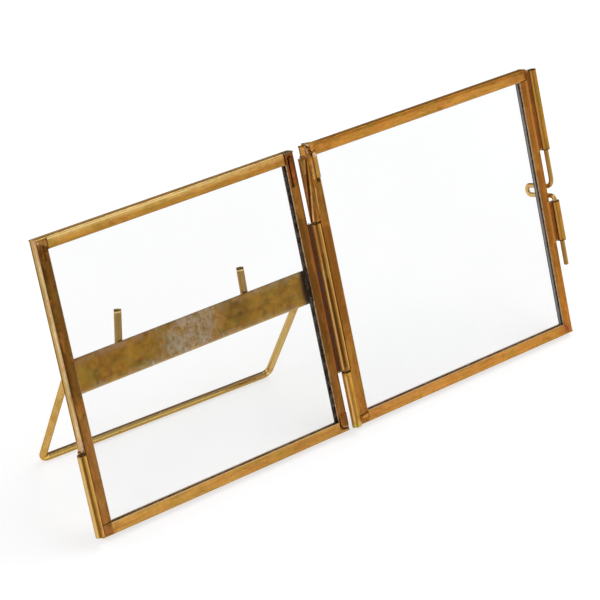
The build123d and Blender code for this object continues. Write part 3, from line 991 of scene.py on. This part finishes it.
sleeve_brass = plain_metal("sleeve_brass", LEVEL, tone(160, 118, 52))
left_tab_brass = tab_finish(
    "left_tab_brass", *LEFT_TAB, body=tone(142, 78, 36), head=tone(104, 60, 30), rim=tone(84, 38, 18)
)
right_tab_brass = tab_finish(
    "right_tab_brass", *RIGHT_TAB, body=tone(196, 152, 78), head=tone(232, 206, 160), rim=tone(150, 104, 44)
)
dress(left_tab_brass, "left_corner_tab")
dress(right_tab_brass, "right_corner_tab")
dress(sleeve_brass, "left_stand_sleeve", "right_stand_sleeve")
print("brass on two tabs and two sleeves")

# %% [markdown]
# ## Brass for wire
# Drawn wire is even in colour, so it gets the least patina. The stand's pegs are olive with dark cut ends.
# Its foot bar has painted shade along its upper side above a painted highlight line. The bolt is darker
# where it comes out of its guides.

# %% Wire brass
def wire_finish(name, body, polish, marks, grime=()):
    """Drawn wire, with marks where it is darker or lighter, and painted shading that dulls the metal under
    it.
    """
    material, tree = start_material(name)
    place = place_on_leaf(tree)["Place"]
    skin = put_patina(
        tree, place, UPRIGHT, tone=body, blush_share=0.3, olive_share=0.4, dark_share=0.15, contrast=0.6
    )
    color = skin["Color"]
    for line in marks:
        color = put_mark(tree, place, color, line, STREAK_FRAY)["Color"]
    rough = calc(tree, "SUBTRACT", skin["Roughness"], polish)
    color, rough, bare = lay_painted_shading(tree, place, grime, color, rough, 1.0)
    return finish_metal(material, color, rough, skin["Height"], bare)


LEFT_PEG_TOP = 68.65
RIGHT_PEG_TOP = 67.15
PEG_OLIVE = tone(150, 120, 62)
PEG_END = tone(62, 46, 28)
PEG_RING = tone(240, 216, 160)
RING_DROP = 0.75
stand_marks = [
    ((-98, 62), (-12, 62), 9.0, PEG_OLIVE, 0.9),
    ((-98, LEFT_PEG_TOP), (-60, LEFT_PEG_TOP), 0.5, PEG_END, 0.95),
    ((-98, LEFT_PEG_TOP - RING_DROP), (-60, LEFT_PEG_TOP - RING_DROP), 0.3, PEG_RING, 0.6),
    ((-50, RIGHT_PEG_TOP), (-12, RIGHT_PEG_TOP), 0.5, PEG_END, 0.95),
    ((-50, RIGHT_PEG_TOP - RING_DROP), (-12, RIGHT_PEG_TOP - RING_DROP), 0.3, PEG_RING, 0.6),
    # A painted highlight along the middle of the foot bar.
    ((-102, 21.12), (-9, 19.82), 0.45, tone(255, 222, 126), 0.8),
    ((-102, 20.1), (-9, 18.8), 0.6, tone(176, 140, 52), 0.8),
    ((-11, 50), (-8.5, 24), 3.0, tone(206, 178, 106), 0.6),
]
# Painted shade along the foot bar's upper side.
foot_painted_shade = [((-100, 22.09), (-11, 20.83), 0.69, tone(100, 70, 34), 0.9)]
bolt_marks = [
    ((BOLT_X, 36), (BOLT_X, 18), 3.0, tone(164, 122, 58), 0.75),
    ((BOLT_X, 72), (BOLT_X, 58), 3.0, tone(170, 128, 56), 0.7),
]
stand_brass = wire_finish("stand_brass", tone(198, 162, 98), 0.14, stand_marks, foot_painted_shade)
bolt_brass = wire_finish("bolt_brass", tone(214, 178, 112), 0.02, bolt_marks)
dress(stand_brass, "stand_wire")
dress(bolt_brass, "bolt_wire", "hinge_pin")
print("brass on stand, bolt and hinge pin")

# %% [markdown]
# ## Lap plates at the corners
# At three corners the end of a channel was hammered flat over its neighbour: a round-ended lap at the
# foot of the left hinge stile, and two small laps on the right hinge stile. The right leaf's inner top
# corner also has a rolled ridge and a raised cap. Each is a plate. One grid face gives its outline, a
# vertex bevel rounds the corners that are round, and an extrusion and an edge bevel give it body.

# %% Lap plates
def finish_piece(name, shape, material, body):
    """Turns a shape in leaf millimetres into a piece that rides on a body."""
    shape.transform(leaf_matrix)
    bmesh.ops.recalc_face_normals(shape, faces=shape.faces)
    mesh = bpy.data.meshes.new(name)
    shape.to_mesh(mesh)
    shape.free()
    mesh.shade_smooth()
    mesh.materials.append(material)
    piece = bpy.data.objects.new(name, mesh)
    bpy.context.scene.collection.objects.link(piece)
    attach(piece, body)


def lap_plate(name, body, channel, middle, size, rounding, turn=0.0, thickness=0.16, edge=0.1, taper=1.0,
              back=-0.02):
    """A plate in a channel's brass. Taper narrows its right end, and back is where it starts."""
    shape = bmesh.new()
    bmesh.ops.create_grid(shape, x_segments=1, y_segments=1, size=0.5)
    bmesh.ops.scale(shape, verts=shape.verts, vec=(size[0], size[1], 1.0))
    right_end = [v for v in shape.verts if v.co.x > 0]
    bmesh.ops.scale(shape, verts=right_end, vec=(1.0, taper, 1.0))
    low = [v for v in shape.verts if v.co.y < 0]
    bmesh.ops.bevel(shape, geom=low, offset=rounding, segments=8, profile=0.5, affect="VERTICES", material=-1)
    grown = bmesh.ops.extrude_face_region(shape, geom=shape.faces[:])
    raised = [v for v in grown["geom"] if isinstance(v, bmesh.types.BMVert)]
    bmesh.ops.translate(shape, verts=raised, vec=(0, 0, thickness))
    rim = [e for e in shape.edges if all(v.co.z > thickness / 2 for v in e.verts)]
    bmesh.ops.bevel(shape, geom=rim, offset=edge, segments=3, profile=0.5, affect="EDGES", material=-1)
    bmesh.ops.rotate(shape, verts=shape.verts, matrix=Matrix.Rotation(radians(turn), 3, "Z"))
    bmesh.ops.translate(shape, verts=shape.verts, vec=(*middle, back))
    finish_piece(name, shape, channel_finishes[channel], body)


lap_plate("left_foot_lap", "left_leaf", "left_hinge_stile", (-4.55, 4.0), (3.5, 5.6), rounding=1.3)
lap_plate("right_foot_lap", "right_leaf", "right_bottom_rail", (5.2, 2.55), (2.9, 1.6), rounding=0.25, turn=6)
lap_plate("right_head_lap", "right_leaf", "right_top_rail", (4.2, 98.6), (3.8, 1.9), rounding=0.4, turn=-58)
lap_plate(
    "right_head_ridge", "right_leaf", "right_hinge_stile", (3.7, 98.6), (0.85, 3.6), rounding=0.4, turn=29,
    thickness=0.42, edge=0.28,
)
lap_plate(
    "right_head_cap", "right_leaf", "right_top_rail", (8.15, 99.15), (11.0, 3.2), rounding=0.4, turn=-2.6,
    thickness=1.85, edge=0.3, taper=0.35, back=-1.82,
)
print("three lap plates, a rolled ridge and a raised cap")

# %% [markdown]
# ## Solder
# The frame was soldered by hand, so drops of solder sit where tubes meet the leaves, and beads run
# along the tails, the strip and the sleeves. Small flat drops close the corners at the back. A drop is
# a sphere that is pressed flat and frayed with a little noise, and a bead is one drawn out along a joint.

# %% Solder
EVEN = ((1, 1, 1), (1, 1, 1))
solder_tin = plain_metal(
    "solder_tin", EVEN, tone(196, 176, 146), blush=tone(206, 160, 130), olive=tone(172, 150, 84),
    dark=tone(104, 84, 58), blush_share=0.7, olive_share=0.7, dark_share=0.6,
)
FRAY_DEPTH = 0.16
FRAY_SCALE = 1.1
TAIL_BACK = -3.4
STRIP_BACK = -(LEAF_DEPTH + 0.8)
CORNER_IN = 3.6
CORNER_UP = 3.7
left_drops = [
    ((-107.9, 30.3, -0.2), (0.42, 1.2, 0.8)),
    ((-107.9, 1.6, -0.4), (0.4, 0.5, 0.5)),
    ((-2.35, 74.1, 0.1), (0.28, 0.32, 0.4)),
    ((-2.4, 21.1, 0.1), (0.35, 0.4, 0.4)),
    ((-107.95, 15.5, TAIL_BACK - 0.1), (0.35, 13.2, 0.4)),
    ((-2.3, 47.4, TAIL_BACK - 0.1), (0.35, 25.5, 0.4)),
    ((-105.25, AXLE_UP, -4.15), (0.55, 5.4, 0.5)),
    ((-4.95, AXLE_UP, -4.15), (0.55, 5.4, 0.5)),
    ((-94.1, AXLE_UP - 3.0, STRIP_BACK - 0.1), (5.3, 0.5, 0.4)),
    ((-18.35, AXLE_UP - 3.0, STRIP_BACK - 0.1), (5.3, 0.5, 0.4)),
]
right_drops = [
    ((2.3, 1.0, 0.15), (0.55, 0.8, 0.5)),
    ((2.4, 96.5, 0.1), (0.3, 0.32, 0.4)),
    ((2.4, 74.4, 0.1), (0.35, 0.4, 0.4)),
    ((107.9, 99.2, 0.0), (0.45, 0.5, 0.5)),
    ((107.9, 69.9, 0.0), (0.4, 0.5, 0.4)),
    ((107.9, 49.9, 0.0), (0.4, 0.5, 0.4)),
    ((107.9, 35.5, 0.0), (0.4, 0.5, 0.4)),
    ((2.3, 10.6, TAIL_BACK - 0.1), (0.35, 9.6, 0.4)),
    ((2.3, 85.3, TAIL_BACK - 0.1), (0.35, 10.6, 0.4)),
    ((107.95, 84.5, TAIL_BACK - 0.1), (0.35, 14.2, 0.4)),
    ((107.95, 42.7, TAIL_BACK - 0.1), (0.35, 7.0, 0.4)),
]
for side, drops in ((-1, left_drops), (1, right_drops)):
    for x in (HINGE_EDGE + CORNER_IN, OUTER_EDGE - CORNER_IN):
        for up in (CORNER_UP, LEAF_TOP - CORNER_UP):
            drops.append(((side * x, up, -LEAF_DEPTH), (0.8, 0.6, 0.22)))


def solder_run(name, body, drops):
    """All the solder of one leaf, as one piece."""
    shape = bmesh.new()
    for middle, size in drops:
        spot = Matrix.Translation(middle) @ Matrix.Diagonal((*size, 1.0))
        bmesh.ops.create_icosphere(shape, subdivisions=3, radius=1.0, matrix=spot)
    shape.normal_update()
    for v in shape.verts:
        v.co += v.normal * FRAY_DEPTH * rough_noise.noise(v.co * FRAY_SCALE)
    finish_piece(name, shape, solder_tin, body)


solder_run("left_solder", "left_leaf", left_drops)
solder_run("right_solder", "right_leaf", right_drops)
print("solder in", len(left_drops) + len(right_drops), "places")

# %% [markdown]
# ## Glass
# The panes are plain clear glass. A Principled shader with full transmission bends and mirrors light
# as glass does. Lamps would not shine through it, because their light is not followed round a bend,
# so rays from lamps pass a Transparent shader instead, and the floor behind stays bright. The mirror
# image on the pane is held down, because the picture shows the strip clearly through it.

# %% Glass
SHADE_GREY = (0.938, 0.944, 0.944, 1)
SHADE_CLEAR = (0.95, 0.956, 0.954, 1)
LAMP_SHADE = (0.94, 0.945, 0.945, 1)
FAINT_MIRROR = (0.1, 0.1, 0.1, 1)
pane_glass, tree = start_material("pane_glass")
clean = noise(tree, place_on_leaf(tree)["Place"], 0.02, 2.0)
shade = blend(tree, rise(tree, clean, 0.35, 0.65), SHADE_GREY, SHADE_CLEAR)
inputs = {"Base Color": shade, "Roughness": 0.0, "IOR": 1.5, "Transmission Weight": 1.0}
clear = add(tree, "ShaderNodeBsdfPrincipled", {**inputs, "Specular Tint": FAINT_MIRROR})
let_through = add(tree, "ShaderNodeBsdfTransparent", {"Color": LAMP_SHADE})
lamp_ray = add(tree, "ShaderNodeLightPath").outputs["Is Shadow Ray"]
pane = add(tree, "ShaderNodeMixShader", {0: lamp_ray, 1: clear.outputs[0], 2: let_through.outputs[0]})
show(pane_glass, pane)
dress(pane_glass, "left_glass", "right_glass")
print("glass in both leaves")

# %% [markdown]
# ## The floor
# The picture has a white ground. The floor is pale and catches the frame's soft shadow, and a little
# light of its own, seen by the camera, by mirror rays and through the glass, lifts it to white.

# %% Floor
FLOOR_GREY = (0.45, 0.45, 0.45, 1)
FLOOR_GLOW = 0.66
FLAT = Matrix.Identity(3)
pale_floor, tree = start_material("pale_floor")
paths = add(tree, "ShaderNodeLightPath").outputs
seen = calc(tree, "MAXIMUM", paths["Is Camera Ray"], paths["Is Glossy Ray"])
seen = calc(tree, "MAXIMUM", seen, paths["Is Transmission Ray"])
ground = add(tree, "ShaderNodeBsdfDiffuse", {"Color": FLOOR_GREY})
glow = product(tree, seen, FLOOR_GLOW)
lift = add(tree, "ShaderNodeEmission", {"Color": (1, 1, 1, 1), "Strength": glow})
show(pale_floor, add(tree, "ShaderNodeAddShader", {0: ground.outputs[0], 1: lift.outputs[0]}))


def flat_sheet(name, middle, size, turn, material):
    """A flat sheet of the studio, which is no part of the frame."""
    shape = bmesh.new()
    bmesh.ops.create_grid(shape, x_segments=1, y_segments=1, size=0.5)
    bmesh.ops.scale(shape, verts=shape.verts, vec=(size[0], size[1], 1.0))
    bmesh.ops.rotate(shape, verts=shape.verts, matrix=turn)
    bmesh.ops.translate(shape, verts=shape.verts, vec=middle)
    mesh = bpy.data.meshes.new(name)
    shape.to_mesh(mesh)
    shape.free()
    mesh.materials.append(material)
    sheet = bpy.data.objects.new(name, mesh)
    bpy.context.scene.collection.objects.link(sheet)
    return sheet


floor = flat_sheet("floor", (0, 0, 0), (8.0, 8.0), FLAT, pale_floor)
print("floor laid")

# %% [markdown]
# ## Light and room
# Three softboxes give soft light from the left, from the right and from above. The room is white low
# down and grey above, so that round wire and tubes show bright and dark lines.

# %% Light and room
def softbox(name, place, aim, size, watts):
    """A square lamp that looks at a point."""
    lamp = bpy.data.lights.new(name, "AREA")
    lamp.size = size
    lamp.energy = watts
    box = bpy.data.objects.new(name, lamp)
    box.location = place
    box.rotation_euler = (Vector(aim) - Vector(place)).to_track_quat("-Z", "Y").to_euler()
    bpy.context.scene.collection.objects.link(box)


softbox("left_softbox", (-1.0, 0.2, 0.6), (0, 0, 0.03), 0.7, 3.0)
softbox("right_softbox", (1.1, -0.1, 0.7), (0, 0, 0.03), 0.7, 3.0)
softbox("top_softbox", (0.5, 0.25, 1.1), (0, 0, 0.03), 0.7, 4.0)

world = bpy.data.worlds.new("room")
bpy.context.scene.world = world
world.use_nodes = True
tree = world.node_tree
tree.nodes.clear()
look = add(tree, "ShaderNodeTexCoord").outputs["Generated"]
upward = add(tree, "ShaderNodeSeparateXYZ", {0: look}).outputs[2]
room = blend(tree, rise(tree, upward, 0.15, 0.55), (1, 1, 1, 1), (0.3, 0.3, 0.31, 1))
sky = add(tree, "ShaderNodeBackground", {"Color": room, "Strength": 1.1})
add(tree, "ShaderNodeOutputWorld", {"Surface": sky.outputs[0]})
print("three softboxes and a room")

# %% [markdown]
# ## Cards
# Two darker cards, which only mirror rays see, stand behind the frame and below the camera, as in a
# studio. They draw the dark lines on the upper edges, on the folds and down the middle of the tubes.

# %% Cards
def dark_card(name, middle, size, shade):
    """An upright card that faces the frame and is seen by mirror rays only."""
    paper, tree = start_material(name + "_paper")
    show(paper, add(tree, "ShaderNodeBsdfDiffuse", {"Color": (*shade, 1)}))
    facing = Vector((-middle[0], -middle[1], 0)).to_track_quat("Z", "Y").to_matrix()
    card = flat_sheet(name, middle, size, facing, paper)
    card.visible_camera = card.visible_diffuse = card.visible_transmission = card.visible_shadow = False


dark_card("back_card", (0.35, 0.45, 0.3), (1.0, 0.6), (0.12, 0.1, 0.08))
dark_card("camera_card", (-0.42, -0.58, 0.3), (0.95, 0.6), (0.6, 0.57, 0.52))
print("two cards")
